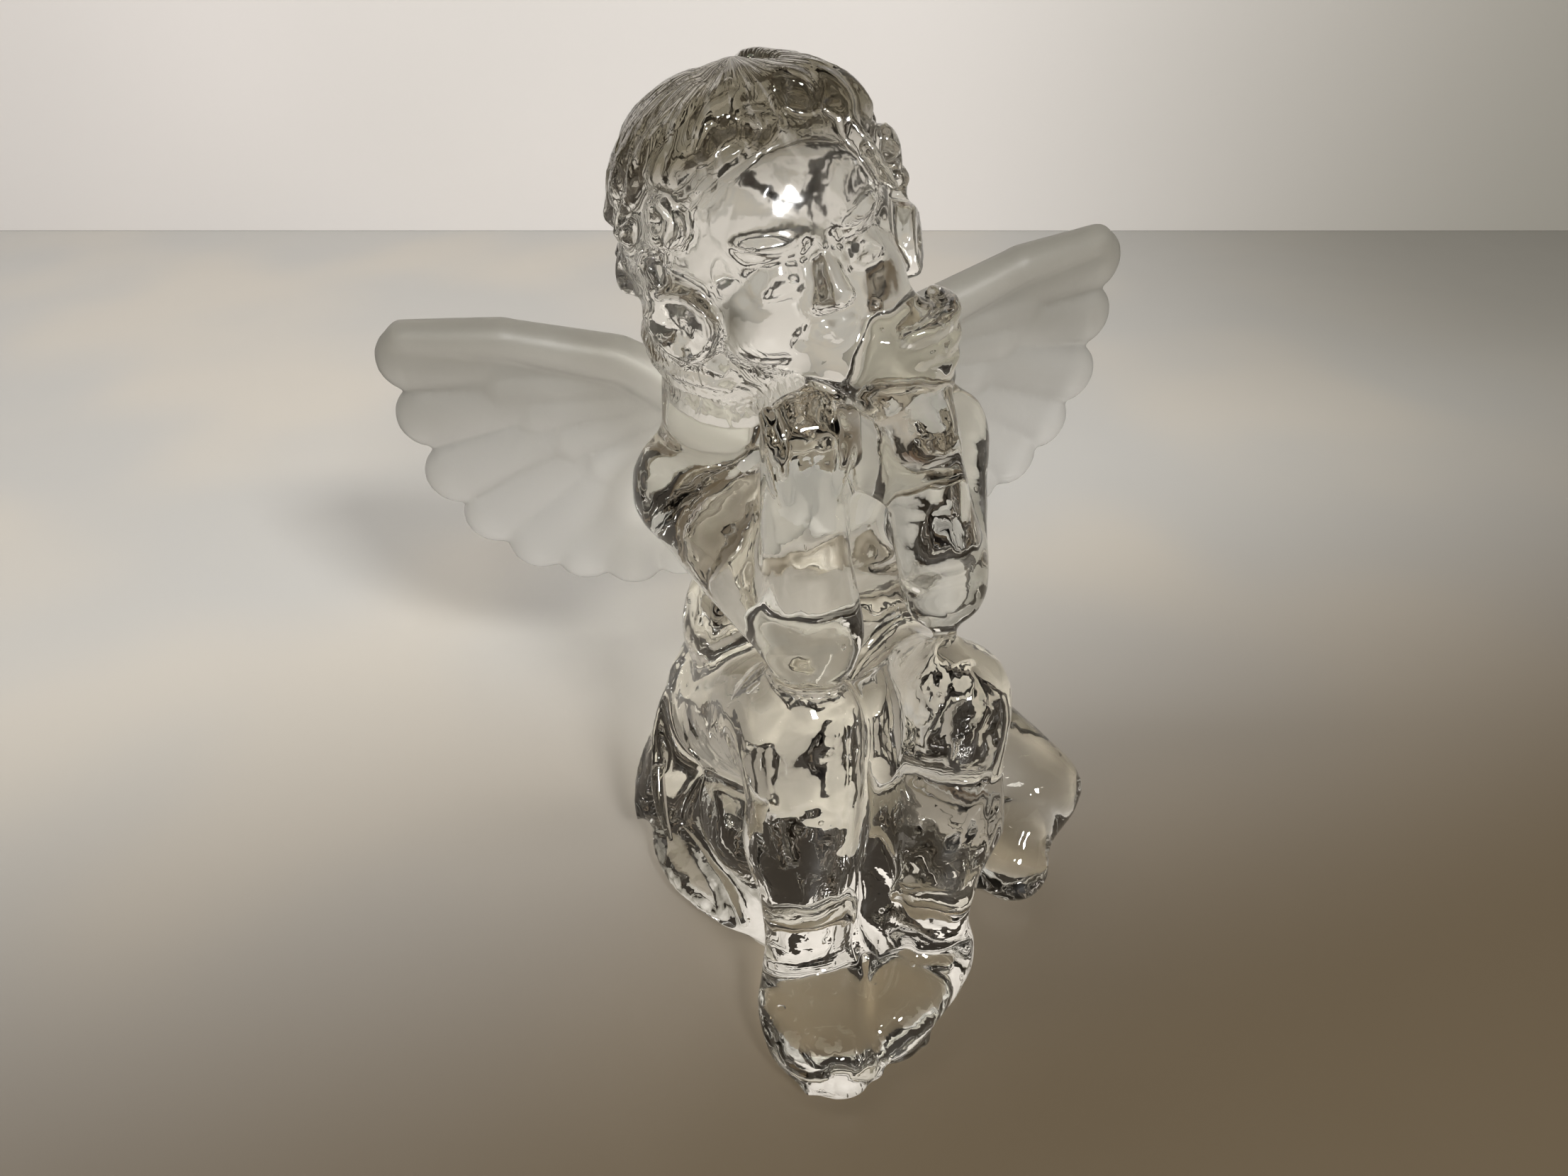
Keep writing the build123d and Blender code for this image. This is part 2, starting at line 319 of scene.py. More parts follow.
def rock_masses():
    """A low rock with a rounded rim, a round boulder by the right leg, and lumps at its back."""
    shapes = [
        egg(at("base_rock", 0.49, 0.51, 0.10), (29.3, 26.8, 5.0), segments=48),
        egg(at("base_rock", 0.46, 0.60, 0.24), (22, 19, 14)),
        egg(at("base_rock", 0.46, 0.25, 0.08), (17, 14, 12)),
        egg(at("base_rock", 0.28, 0.35, 0.61), (10.4, 10.4, 10.4)),
        egg(at("base_rock", 0.90, 0.17, 0.17), (6.2, 6.2, 6.2)),
    ]
    for step in range(5):
        turn = math.radians(8 + step * 38)
        lump = at("base_rock", 0.48 + 0.34 * math.cos(turn), 0.52 + 0.33 * math.sin(turn), 0.14)
        shapes.append(egg(lump, (8.0, 7.0, 5.0), (0, 0, step * 40)))
    return shapes


def skirt_point(turn, height, swell=0.0):
    """A point of the hanging cloth, by its direction round the hips and 0 at the hem to 1 at the waist."""
    return at(
        "drape",
        0.41 - 0.01 * height + (0.34 - 0.12 * height + swell) * math.cos(turn),
        0.51 + 0.06 * height + (0.40 - 0.15 * height + swell) * math.sin(turn),
        0.10 + 0.72 * height,
    )


def cloth_masses():
    """The cloth's full parts: a skirt round the hips, and the corner that flares out on the left."""
    shapes = []
    turns = [math.radians(172 - step * 23.5) for step in range(9)]
    for step, turn in enumerate(turns):
        fold = 0.5 * (-1) ** step  # every other hanging part is fuller
        shapes.append(limb(skirt_point(turn, 0.98), skirt_point(turn, 0.14), 4.8, 5.4 + fold, 12))
    for turn, after in zip(turns, turns[1:]):
        shapes.append(limb(skirt_point(turn, 0.98), skirt_point(after, 0.98), 4.8, 4.8, 12))
        shapes.append(limb(skirt_point(turn, 0.5), skirt_point(after, 0.5), 5.0, 5.0, 12))
    shapes.append(limb(DRAPE_HIP, DRAPE_CORNER, 9.0, 6.6))
    shapes.append(limb(DRAPE_CORNER, at("drape", 0.81, 0.10, 0.20), 6.6, 5.0))
    return shapes


# ---------------------------------------------------------------- second pass: the detail
def face_details():
    """A calm child's face: lowered lids, small nose and closed lips."""
    shapes = []
    for side in (-1, 1):
        shapes.append(head_egg((side * 0.35, -0.87, -0.03), (0.20, 0.13, 0.125), (0, 0, side * 14)))
        lashes = []
        for step in range(5):
            turn = math.pi * (1 + step / 4)
            lashes.append(
                on_head(
                    side * 0.35 + 0.19 * math.cos(turn),
                    -0.985 + 0.06 * abs(math.cos(turn)),
                    -0.05 + 0.07 * math.sin(turn),
                )
            )
        shapes.append(lock(lashes, (0.3, 0.5, 0.6, 0.5, 0.3)))
        shapes.append(head_egg((side * 0.34, -0.86, 0.19), (0.27, 0.13, 0.07), (0, side * -8, side * 14)))
        shapes.append(head_egg((side * 0.09, -1.05, -0.27), (0.085, 0.10, 0.075)))
        shapes.append(head_egg((side * 0.085, -0.995, -0.49), (0.12, 0.075, 0.05), (0, side * 10, 0)))
    shapes.append(limb(on_head(0, -0.95, 0.06), on_head(0, -1.09, -0.20), 1.1, 1.8))
    shapes.append(head_egg((0, -1.09, -0.24), (0.125, 0.14, 0.115)))
    shapes.append(head_egg((0, -0.985, -0.58), (0.14, 0.085, 0.06)))
    return shapes


EAR_TURN = math.radians(38)  # the ears stand out and face partly forwards


def ear_details():
    """Each ear is a plump shell with a rolled rim and a second fold inside it."""
    shapes = []
    for side in (-1, 1):
        middle = Vector((side * 0.95, -0.44, -0.30))
        along = Vector((side * math.sin(EAR_TURN), math.cos(EAR_TURN), 0))
        outward = Vector((side * math.cos(EAR_TURN), -math.sin(EAR_TURN), 0))
        shapes.append(head_egg(middle - outward * 0.06, (0.17, 0.25, 0.33), (0, 0, side * -38)))
        for reach, radius, out in ((1.0, 0.95, 0.08), (0.55, 0.7, 0.10)):
            for half in (0, 1):
                rim = []
                for step in range(5):
                    turn = math.pi * (half + step / 4)
                    place = middle + outward * out + along * 0.25 * reach * math.cos(turn)
                    rim.append(on_head(place.x, place.y, place.z + 0.32 * reach * math.sin(turn)))
                shapes.append(lock(rim, (radius,) * 5))
    return shapes


def curl(azimuth, elevation, size, turn, side):
    """One round curl lying on the scalp: a tapering hook that ends in its own middle."""
    points = []
    for step in range(5):
        angle = math.radians(turn + side * step * 80)
        out = size * (1.0 - 0.17 * step)
        points.append(
            on_scalp(
                1.12 + 0.012 * step,
                azimuth + out * math.cos(angle) / max(math.cos(math.radians(elevation)), 0.35),
                elevation + out * math.sin(angle),
            )
        )
    return lock(points, (0.6, 1.4, 1.6, 1.4, 0.9))


# Each curl's azimuth, elevation and size, in degrees: three rows round the back and sides, the temples,
# one on the forehead, and two rows behind the right ear.
CURL_PLACES = [
    *((azimuth, 18, 11) for azimuth in range(64, 299, 26)),
    *((azimuth, -7, 11) for azimuth in range(76, 290, 26)),
    *((azimuth, -32, 11) for azimuth in range(92, 272, 29)),
    (-66, 22, 8),
    (66, 22, 8),
    (-74, 2, 8),
    (74, 2, 8),
    (-10, 53, 7),
    *((azimuth, -50, 10) for azimuth in range(-150, -80, 22)),
    *((azimuth, -22 - 6 * step, 9) for step, azimuth in enumerate((-78, -84, -90))),
]


def swept_lock(start, end, bow, radius):
    """A long soft lock over the scalp between two directions, bowed sideways by some degrees."""
    points = []
    for step in range(5):
        share = step / 4
        swing = bow * math.sin(math.pi * share)
        azimuth = start[0] + (end[0] - start[0]) * share + swing
        elevation = start[1] + (end[1] - start[1]) * share
        points.append(on_scalp(1.15 + 0.05 * math.sin(math.pi * share), azimuth, elevation))
    return lock(points, (0.7 * radius, radius, 1.1 * radius, radius, 0.5 * radius))


def hair_details():
    """A cap that leaves the face open, locks swept down from a parting, and round curls below them."""
    chance = random.Random(7)
    cap = joined("hair_cap", [head_egg((-0.02, 0.06, 0.05), (1.12, 1.11, 1.06))])
    cut_flat(cap, on_head(0, -0.20, 0.02), HEAD_TURN @ Vector((0, -0.87, -0.50)))
    shapes = [cap]
    shapes.append(head_egg((-0.24, 0.02, 0.66), (0.62, 0.62, 0.52)))
    shapes.append(head_egg((-0.10, 0.04, 0.86), (0.34, 0.42, 0.42)))
    shapes.append(head_egg((0.54, -0.06, 0.66), (0.40, 0.52, 0.44)))
    ridge = [on_scalp(1.16, *way) for way in ((40, 80), (45, 62), (42, 42), (38, 25), (42, 8))]
    shapes.append(lock(ridge, (0.7, 1.0, 1.0, 1.0, 0.6)))
    for side, first, last in ((-1, -18, -168), (1, 14, 172)):
        for step in range(9):
            share = step / 8
            azimuth = first + (last - first) * share
            top = 78 - 10 * (1 - share)
            foot = 52 - 34 * min(share * 2.2, 1)
            shapes.append(
                swept_lock(
                    (azimuth * 0.7, top),
                    (azimuth + side * 10 + chance.uniform(-4, 4), foot + chance.uniform(-3, 3)),
                    side * chance.uniform(4, 12),
                    chance.uniform(1.5, 2.1),
                )
            )
    for step in range(9):
        azimuth = -56 + 14 * step
        foot = 60 - 0.0075 * azimuth**2 + (4 if step % 2 else -3)
        points = []
        for drop in range(5):
            sway = 5 * math.sin(drop * 1.5 + step)
            way_round = azimuth * (0.75 + 0.07 * drop) + sway
            points.append(on_scalp(1.17 - 0.012 * drop, way_round, foot + 7 * (4 - drop)))
        shapes.append(lock(points, (1.0, 1.5, 1.7, 1.5, 0.8)))
    for azimuth, elevation, size in CURL_PLACES:
        turn = chance.uniform(0, 360)
        side = chance.choice((-1, 1))
        azimuth += chance.uniform(-3, 3)
        elevation += chance.uniform(-3, 3)
        shapes.append(curl(azimuth, elevation, size, turn, side))
    return shapes


def nape_details():
    """Locks that hang behind the right ear, over the fullness of the neck, and run forwards to the jaw."""
    middle, radii = on_head(*NAPE), Vector(NAPE_RADII)
    shapes = []
    for row in range(5):
        for first in (-135, -85):
            points = []
            for step in range(5):
                turn = math.radians(first + 17 * step + 5 * (row % 2))
                rise = math.radians(48 - 19 * row - 6 * step + 9 * math.sin(1.9 * step + row))
                level = math.cos(rise)
                way = Vector((level * math.sin(turn), -level * math.cos(turn), math.sin(rise)))
                points.append(middle + way * radii * 1.08)
            shapes.append(lock(points, (0.7, 1.3, 1.5, 1.2, 0.5)))
    return shapes


def shoulder_details():
    """Two soft creases of flesh over the front of the right shoulder."""
    shapes = []
    for rise in (0.62, 0.22):
        points = []
        for out in (-0.85, -0.45, 0.05, 0.55, 0.95):
            way = Vector((out, -0.9 + 0.5 * abs(out), rise - 0.25 * abs(out))).normalized()
            points.append(RIGHT_SHOULDER + way * 7.6)
        shapes.append(lock(points, (0.4, 0.9, 1.1, 0.9, 0.4)))
    return shapes


def hand_details():
    """The right fist, its knuckles forward under the chin, and the left hand's fingers beside the cheek."""
    shapes = []
    for step in range(4):
        across = (step - 1.5) * 2.8
        knuckle = RIGHT_PALM + Vector((across, -4.4, 1.4 - 0.25 * abs(across)))
        points = [
            RIGHT_WRIST + Vector((across * 0.7, -3.6, 0.0)),
            knuckle + Vector((0, 0.3, -2.8)),
            knuckle,
            knuckle + Vector((0, 1.6, 2.6)),
            knuckle + Vector((0, 4.4, 3.0)),
        ]
        shapes.append(lock(points, (0.7, 1.2, 1.4, 1.3, 1.1)))
    thumb_root, thumb_tip = RIGHT_PALM + Vector((4.9, -2.2, -2.2)), RIGHT_PALM + Vector((4.6, -3.0, 3.0))
    shapes.append(limb(thumb_root, thumb_tip, 1.9, 1.6))
    for step in range(4):
        root = LEFT_PALM + Vector((4.7 - 0.3 * abs(step - 1.5), 0.4, 5.4 - 2.7 * step))
        points = [
            root + Vector((-6.0, -4.4, -1.6)),
            root + Vector((-2.0, -5.0, -0.6)),
            root + Vector((2.0, -2.8, 0.2)),
            root + Vector((2.5, 1.2, 0.6)),
            root + Vector((0.4, 4.6, 0.6)),
        ]
        shapes.append(lock(points, (0.9, 1.3, 1.45, 1.4, 1.1)))
    return shapes


def foot_details():
    """Five plump toes on each foot."""
    shapes = []
    for toe, width in ((RIGHT_TOE, 10.5), (LEFT_TOE, 9.5)):
        for step in range(5):
            across = (step - 2) * width / 5
            tip = toe + Vector((across, -3.2 + 0.3 * abs(across), -1.4))
            shapes.append(limb(tip + Vector((0, 4, 1.2)), tip, 1.8, 1.8, 12))
    return shapes


def cloth_details():
    """Folds that swirl at the right hip, hems over the thighs and pleats on the flared corner."""
    shapes = []
    for first, last, top, radius in ((166, 196, 0.95, 1.2), (176, 206, 0.75, 1.3), (160, 178, 0.60, 1.1)):
        points = []
        for step in range(5):
            share = step / 4
            turn = math.radians(first + (last - first) * share)
            points.append(skirt_point(turn, top - 0.6 * share, 0.055 + 0.02 * math.sin(math.pi * share)))
        shapes.append(lock(points, (0.5, radius, radius * 1.2, radius, 0.4)))
    hems = (
        (RIGHT_KNEE, RIGHT_HIP, -1, ((0.30, 0.9),)),
        (LEFT_KNEE, LEFT_HIP, 1, ((0.26, 0.9), (0.44, 1.1))),
    )
    for knee, hip, side, ridges in hems:
        for back, radius in ridges:
            points = []
            for step in range(5):
                turn = math.radians(-4 + step * 44)
                middle = knee.lerp(hip, back + 0.05 * step)
                reach = 8.9 + 2.6 * (back + 0.05 * step)
                points.append(middle + Vector((side * reach * math.cos(turn), 0, reach * math.sin(turn))))
            shapes.append(lock(points, (0.5, radius, radius * 1.15, radius, 0.5)))
    for lift, radius in ((6.4, 1.5), (1.4, 1.2)):
        points = []
        for share in (0, 0.3, 0.55, 0.8, 1.0):
            proud = Vector((1.2, -5.4 + 3.0 * share, lift * (1 - 0.4 * share)))
            points.append(DRAPE_HIP.lerp(DRAPE_CORNER, share) + proud)
        shapes.append(lock(points, (0.8, radius, radius, radius, 0.7)))
    return shapes


def thumb_marks():
    """The hollows: eye sockets, nose root, mouth corners, and the creases where flesh meets flesh."""
    marks = [(on_head(0, -0.98, -0.40), 2.4, BACK * 0.35)]
    for side in (-1, 1):
        marks.append((on_head(side * 0.15, -0.98, 0.05), 2.6, BACK * 0.9))
        marks.append((on_head(side * 0.26, -1.0, -0.53), 2.2, BACK * 0.8))
        marks.append((on_head(side * 0.60, -0.80, 0.04), 3.6, Vector((-side * 0.5, 0.7, 0))))
    marks.append((LEFT_SHOULDER.lerp(LEFT_ELBOW, 0.5) + Vector((-6.5, 0.5, -2.0)), 6.5, BACK * 3.2))
    return marks


# ---------------------------------------------------------------- the figure
def make_figure():
    """The whole clear figure: masses, softened, then details, softened a little, then a flat base."""
    masses = [*body_masses(), *head_masses(), *limb_masses(), *rock_masses(), *cloth_masses()]
    figure = one_skin("glass_figure", masses, MASS_GRAIN, MASS_ROUNDS)
    unevened(figure, 8.0, 1.2)
    details = [
        *hair_details(),
        *nape_details(),
        *shoulder_details(),
        *face_details(),
        *ear_details(),
        *hand_details(),
        *foot_details(),
        *cloth_details(),
    ]
    figure = one_skin("glass_figure", [figure, *details], DETAIL_GRAIN, DETAIL_ROUNDS)
    pressed(figure, thumb_marks())
    cut_flat(figure, (0, 0, 0), (0, 0, -1))
    nothing_selected()
    figure.select_set(True)
    bpy.context.view_layer.objects.active = figure
    bpy.ops.object.shade_smooth_by_angle(angle=math.radians(60))
    return figure


# ---------------------------------------------------------------- the wings
class Wing:
    """The plane of one wing: u outwards and v up from its root, and w towards its back."""

    def __init__(self, node, side):
        low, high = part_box(node)
        self.side = side
        self.span = 0.925 * (high[0] - low[0]) / MM
        self.root = at(node, 0.97 if side < 0 else 0.04, 0.28, 0.47 if side < 0 else 0.41)
        lean, sweep = math.radians(-3), math.radians(side * 8)
        self.turn = Matrix.Rotation(lean, 3, "Y") @ Matrix.Rotation(sweep, 3, "Z")

    def place(self, u, v, w=0.0):
        return self.root + self.turn @ Vector((self.side * u, w, v))


# The long feathers' tips, from the front edge down: how far out along the span, and how far up.
FEATHER_TIPS = [
    (0.92, 18.3),
    (0.905, 9.8),
    (0.86, 0.9),
    (0.775, -6.4),
    (0.655, -11.4),
    (0.52, -14.4),
    (0.375, -15.9),
    (0.22, -15.6),
]


def make_wing(node, side):
    """A fan of long feathers, a row of short ones over their roots, and a thick rounded front edge."""
    wing = Wing(node, side)
    span = wing.span
    shapes = []
    for number, (out, up) in enumerate(FEATHER_TIPS):
        root_u, root_v = span * (0.36 - 0.04 * number), 13.5 - 2.3 * number
        layer = 0.8 * (number % 2) - 0.4  # neighbours lie in front of and behind each other
        for share, radius in ((0.0, 2.2), (0.55, 3.9)):
            start_u = root_u + (span * out - root_u) * share
            start = wing.place(start_u, root_v + (up - root_v) * share, layer)
            bar = limb(start, wing.place(span * out - 0.8, up, layer), radius, 4.9, 24)
            shapes.append(flattened(bar, wing, 0.46))
    plate = limb(wing.place(0.22 * span, 3), wing.place(0.62 * span, 7), 10.0, 9.0, 24)
    shapes.append(flattened(plate, wing, 0.11))
    for number in range(5):
        out, up = 0.66 - 0.085 * number, 13.0 - 4.4 * number
        start = wing.place(span * (0.24 - 0.02 * number), 11.0 - 2.0 * number)
        bar = limb(start, wing.place(span * out, up), 2.2, 3.6, 24)
        shapes.append(flattened(bar, wing, 0.62))
    edge = [
        (1.0, 6.0, 4.4),
        (span * 0.32, 15.2, 3.4),
        (span * 0.64, 19.6, 3.0),
        (span * 0.965 - 2.6, 20.9, 2.7),
    ]
    for (out, up, radius), (next_out, next_up, next_radius) in zip(edge, edge[1:]):
        shapes.append(limb(wing.place(out, up), wing.place(next_out, next_up), radius, next_radius))
    root = limb(wing.place(0, -4), wing.place(span * 0.3, -6), 9.0, 8.0, 24)
    shapes.append(flattened(root, wing, 0.30))
    skin = one_skin(node + "_frosted", shapes, WING_GRAIN, WING_ROUNDS)
    nothing_selected()
    skin.select_set(True)
    bpy.context.view_layer.objects.active = skin
    bpy.ops.object.shade_smooth()
    return skin


def flattened(bar, wing, thickness):
    """Squeezes a bar towards the wing's own plane."""
    nothing_selected()
    bar.select_set(True)
    bpy.context.view_layer.objects.active = bar
    bpy.ops.object.transform_apply(location=True, rotation=True, scale=True)
    root = wing.root * MM
    into_plane = wing.turn.transposed()
    for vertex in bar.data.vertices:
        local = into_plane @ (vertex.co - root)
        local.y *= thickness
        vertex.co = root + wing.turn @ local
    return bar


# ---------------------------------------------------------------- materials
class Value:
    """A number that is worked out on the surface.  Arithmetic on it adds Math nodes."""

    def __init__(self, shader, socket):
        self.shader, self.socket = shader, socket

    def _with(self, operation, first, second):
        return self.shader.value("ShaderNodeMath", {"operation": operation}, [first, second])

    def __add__(self, other):
        return self._with("ADD", self, other)

    def __radd__(self, other):
        return self._with("ADD", other, self)

    def __sub__(self, other):
        return self._with("SUBTRACT", self, other)

    def __rsub__(self, other):
        return self._with("SUBTRACT", other, self)

    def __mul__(self, other):
        return self._with("MULTIPLY", self, other)

    def __rmul__(self, other):
        return self._with("MULTIPLY", other, self)

    def clamped(self):
        return self.shader.value("ShaderNodeClamp", {}, [self])


class Shader:
    """A material, and the nodes that are added to it."""

    def __init__(self, name):
        self.material = bpy.data.materials.new(name)
        self.material.use_nodes = True
        self.tree = self.material.node_tree
        self.tree.nodes.clear()
        self.output = self.tree.nodes.new("ShaderNodeOutputMaterial")
        self.place = self.add("ShaderNodeTexCoord", {}, {}).outputs["Object"]

    def add(self, kind, settings, inputs):
        """A node of this kind.  Inputs are by socket name or number, and are values or sockets to link."""
        node = self.tree.nodes.new(kind)
        for name, value in settings.items():
            setattr(node, name, value)
        for name, value in inputs.items():
            if isinstance(value, Value):
                value = value.socket
            if isinstance(value, bpy.types.NodeSocket):
                self.tree.links.new(value, node.inputs[name])
            else:
                node.inputs[name].default_value = value
        return node

    def value(self, kind, settings, inputs):
        """A number from a node whose inputs are given in order."""
        return Value(self, self.add(kind, settings, dict(enumerate(inputs))).outputs[0])

    def noise(self, size, detail=2.0):
        """Smooth noise from 0 to 1, whose features are about this many millimetres across."""
        inputs = {"Vector": self.place, "Scale": 1 / (size * MM), "Detail": detail}
        return Value(self, self.add("ShaderNodeTexNoise", {}, inputs).outputs["Fac"])

    def blend(self, factor, first, second):
        """A colour between two colours."""
        inputs = {"Factor": factor, 6: first, 7: second}
        return self.add("ShaderNodeMix", {"data_type": "RGBA"}, inputs).outputs[2]

    def ramp(self, value, low, high):
        """0 below low, 1 above high, and smooth between them."""
        settings = {"interpolation_type": "SMOOTHSTEP"}
        node = self.add("ShaderNodeMapRange", settings, {0: value, 1: low, 2: high})
        return Value(self, node.outputs[0])

    def vector(self, operation, inputs):
        """The socket of a vector that is worked out from others."""
        return self.add("ShaderNodeVectorMath", {"operation": operation}, inputs).outputs[0]

    def along(self, direction):
        """How far the place is along a direction, in millimetres."""
        settings = {"operation": "DOT_PRODUCT"}
        node = self.add("ShaderNodeVectorMath", settings, {0: self.place, 1: direction / MM})
        return Value(self, node.outputs["Value"])

    def away_from(self, centre):
        """How far the place is from a point, in millimetres."""
        settings = {"operation": "DISTANCE"}
        node = self.add("ShaderNodeVectorMath", settings, {0: self.place, 1: centre * MM})
        return Value(self, node.outputs["Value"]) * (1 / MM)

    def combed(self, centre, crown, height):
        """Noise drawn out into strands that run down from a crown all round a head."""
        local = self.vector("SUBTRACT", {0: self.place, 1: centre * MM})
        lifted = self.vector("SCALE", {0: crown, 3: height * MM})
        way = self.vector("NORMALIZE", {0: self.vector("SUBTRACT", {0: local, 1: lifted})})
        drop = self.vector("SCALE", {0: crown, 3: height * 0.035})
        both = self.vector("ADD", {0: way, 1: drop})
        inputs = {"Vector": both, "Scale": 9.0, "Detail": 2.0, "Distortion": 0.6}
        return Value(self, self.add("ShaderNodeTexNoise", {}, inputs).outputs["Fac"])

    def seeds(self, spacing):
        """Tiny blisters, as bubbles leave in a pressing: 1 inside one and 0 elsewhere."""
        node = self.add("ShaderNodeTexVoronoi", {}, {"Vector": self.place, "Scale": 1 / (spacing * MM)})
        return self.ramp(Value(self, node.outputs["Distance"]), 0.085, 0.045)

    def bumped(self, height, distance, strength):
        """A normal that is tilted as if the surface rose by this height times this distance."""
        inputs = {"Height": height, "Distance": distance * MM, "Strength": strength}
        return self.add("ShaderNodeBump", {}, inputs).outputs[0]

    def letting_light_by(self, surface, share):
        """Clear glass shades what is behind it only in part, as its bright and dark patches even out."""
        shading = Value(self, self.add("ShaderNodeLightPath", {}, {}).outputs["Is Shadow Ray"])
        open_air = self.add("ShaderNodeBsdfTransparent", {}, {"Color": (0.93, 0.92, 0.89, 1)})
        inputs = {0: shading * share, 1: surface.outputs[0], 2: open_air.outputs[0]}
        return self.add("ShaderNodeMixShader", {}, inputs)

    def finish(self, surface):
        self.tree.links.new(surface.outputs[0], self.output.inputs["Surface"])
        return self.material


def clear_glass():
    """Fire-polished glass: the slow ripple of a pressing, combed hair behind, and a crown darkened by
    painted shade.
    """
    glass = Shader("clear_pressed_glass")
    ripple = glass.noise(7.0) * 0.7 + glass.noise(2.6) * 0.3
    crown = HEAD_TURN @ UP
    hair_side = HEAD_TURN @ Vector((0, 0.87, 0.50))
    height = glass.along(crown) - HEAD.dot(crown)
    behind_hairline = glass.ramp(glass.along(hair_side) - HEAD.dot(hair_side), 0.18 * SKULL, 0.34 * SKULL)
    off_skull = glass.ramp(glass.away_from(HEAD), 1.04 * SKULL, 1.10 * SKULL)
    above_neck = glass.ramp(height, -0.95 * SKULL, -0.7 * SKULL)
    low_down = glass.ramp(height, -0.2 * SKULL, -0.4 * SKULL)
    at_nape = glass.ramp(glass.away_from(on_head(*NAPE)), 12.6, 11.0) * low_down
    in_hair = (behind_hairline * above_neck + at_nape).clamped() * off_skull
    near_head = glass.ramp(glass.away_from(HEAD), 1.30 * SKULL, 1.15 * SKULL)
    on_face = near_head * (1 - behind_hairline) * above_neck
    seeds = glass.seeds(5.5)
    strands = glass.combed(HEAD, crown, height)
    # Painted shade: a dark brown tint over the crown, along the combed strands, darker higher up.
    painted_dark_crown = glass.ramp(height, 0.45 * SKULL, 0.85 * SKULL) * (strands * 2.4 - 0.1).clamped()
    touched = glass.ramp(glass.noise(5.0, 4.0), 0.62, 0.80)
    clean = glass.blend(glass.noise(12.0), (0.92, 0.915, 0.875, 1), (0.86, 0.845, 0.79, 1))
    surface = glass.add(
        "ShaderNodeBsdfPrincipled",
        {},
        {
            # The crown's painted shade: dark brown mixed over the clean glass.
            "Base Color": glass.blend(painted_dark_crown, clean, (0.15, 0.13, 0.085, 1)),
            "Roughness": touched * 0.05 + on_face * 0.08 + 0.004,
            "IOR": 1.5,
            "Transmission Weight": 1.0,
            "Normal": glass.bumped(ripple * 0.30 + in_hair * strands * 2.2 + seeds * 0.25, 1.0, 0.5),
        },
    )
    return glass.finish(glass.letting_light_by(surface, 0.8))


def frosted_glass():
    """Acid-frosted glass: a fine matte grain that lets light through without a view, and painted shade that
    makes it darker higher up.
    """
    frost = Shader("acid_frosted_glass")
    grain = frost.noise(0.5, 4.0)
    cloud = frost.noise(9.0, 3.0)
    # Painted shade: the wings' colours turn darker with height, towards their top edge, not with the
    # glass's thickness.
    low, high = at("right_wing", 0.5, 0.5, 0.20).z, at("right_wing", 0.5, 0.5, 1.05).z
    deep = frost.ramp(frost.along(UP) + (cloud - 0.5) * 9.0, low, high)
    rough = frost.add(
        "ShaderNodeBsdfPrincipled",
        {},
        {
            "Base Color": frost.blend(deep, (0.90, 0.90, 0.88, 1), (0.56, 0.55, 0.50, 1)),
            "Roughness": cloud * 0.08 + 0.40,
            "IOR": 1.45,
            "Transmission Weight": 1.0,
            "Normal": frost.bumped(grain, 0.05, 0.4),
        },
    )
    milk = frost.add("ShaderNodeBsdfTranslucent", {}, {"Color": (0.42, 0.415, 0.40, 1)})
    # The chalk's colour carries the same painted shade by height.
    chalk_colour = frost.blend(deep, (0.66, 0.655, 0.64, 1), (0.27, 0.26, 0.23, 1))
    chalk = frost.add("ShaderNodeBsdfPrincipled", {}, {"Base Color": chalk_colour, "Roughness": 0.8})
    body = frost.add("ShaderNodeMixShader", {}, {0: 0.65, 1: milk.outputs[0], 2: chalk.outputs[0]})
    surface = frost.add("ShaderNodeMixShader", {}, {0: 0.30, 1: rough.outputs[0], 2: body.outputs[0]})
    return frost.finish(surface)


VIEW_TURN = math.radians(-15)  # the camera looks this far round towards the figure's left
VIEW_TILT = math.radians(33)  # and this far down
AHEAD = Vector((-math.sin(VIEW_TURN), math.cos(VIEW_TURN), 0))
ASIDE = Vector((math.cos(VIEW_TURN), math.sin(VIEW_TURN), 0))
CAMERA_PLACE = Vector((-40.4, -138.1, 140.4))
WALL_AWAY = 342.0  # from the figure's origin to the foot of the wall


def floor_board():
    """A satin board, pale and grey far off with faint warm and cool patches; its brown near the viewer, its
    darker far right and its darker front edge are painted shade.
    """
    board = Shader("floor_board")
    # Painted shade: the board turns dark brown towards the viewer.
    near = board.ramp(board.along(AHEAD - ASIDE * 0.40), 120.0, -70.0)
    patches = board.ramp(board.noise(85.0, 1.0), 0.38, 0.66)
    far_colour = board.blend(patches, (0.385, 0.378, 0.358, 1), (0.435, 0.408, 0.362, 1))
    # Painted shade: the board is darker towards the far right.
    right = board.ramp(board.along(ASIDE), 40.0, 260.0) * board.ramp(board.along(AHEAD), 20.0, 260.0)
    far_colour = board.blend(right, far_colour, (0.235, 0.225, 0.200, 1))
    colour_with_painted_shade = board.blend(near, far_colour, (0.082, 0.062, 0.038, 1))
    # Painted shade: darker still along the front edge.
    edge = board.ramp(board.along(AHEAD), -70.0, -150.0)
    surface = board.add(
        "ShaderNodeBsdfPrincipled",
        {},
        {
            "Base Color": board.blend(edge, colour_with_painted_shade, (0.07, 0.045, 0.028, 1)),
            "Roughness": board.noise(30.0) * 0.10 + 0.33,
        },
    )
    return board.finish(surface)


